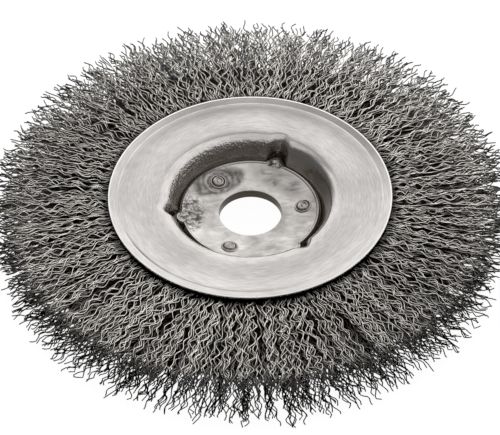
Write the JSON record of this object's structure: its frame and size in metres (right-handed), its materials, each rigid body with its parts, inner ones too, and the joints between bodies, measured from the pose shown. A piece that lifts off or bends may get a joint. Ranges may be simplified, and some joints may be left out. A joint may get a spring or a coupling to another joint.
{
  "type": "wire wheel brush",
  "caption": "Round wheel brush of crimped steel wire gripped between two pressed, deeply recessed side plates, with a plain centre bore",
  "frame": {"origin": "centre of the bore, on the mid-plane between the two side plates", "axes": "+Z along the bore out of the front side plate; X and Y in the plane of the wheel"},
  "size_m": [0.1803, 0.1804, 0.021],
  "materials": {
    "pressed_steel": "bright pressed sheet steel, satin",
    "disc_steel": "satin sheet steel, scuffed",
    "rivet_steel": "bare steel, lightly heat-marked",
    "hoop_steel": "drawn wire",
    "wire_steel": "crimped high-carbon steel wire, oily dark grey-brown"
  },
  "bodies": {
    "root": {"front_plate": "pressed_steel", "back_plate": "pressed_steel", "front_hub_disc": "disc_steel", "back_hub_disc": "disc_steel", "rivet_1": "rivet_steel", "rivet_2": "rivet_steel", "rivet_3": "rivet_steel", "anchor_hoop": "hoop_steel", "wire_bundle_01": "wire_steel", "wire_bundle_02": "wire_steel", "wire_bundle_03": "wire_steel", "wire_bundle_04": "wire_steel", "wire_bundle_05": "wire_steel", "wire_bundle_06": "wire_steel", "wire_bundle_07": "wire_steel", "wire_bundle_08": "wire_steel", "wire_bundle_09": "wire_steel", "wire_bundle_10": "wire_steel", "wire_bundle_11": "wire_steel", "wire_bundle_12": "wire_steel", "wire_bundle_13": "wire_steel", "wire_bundle_14": "wire_steel", "wire_bundle_15": "wire_steel", "wire_bundle_16": "wire_steel", "wire_bundle_17": "wire_steel", "wire_bundle_18": "wire_steel", "wire_bundle_19": "wire_steel", "wire_bundle_20": "wire_steel", "wire_bundle_21": "wire_steel", "wire_bundle_22": "wire_steel", "wire_bundle_23": "wire_steel", "wire_bundle_24": "wire_steel"}
  },
  "joints": []
}
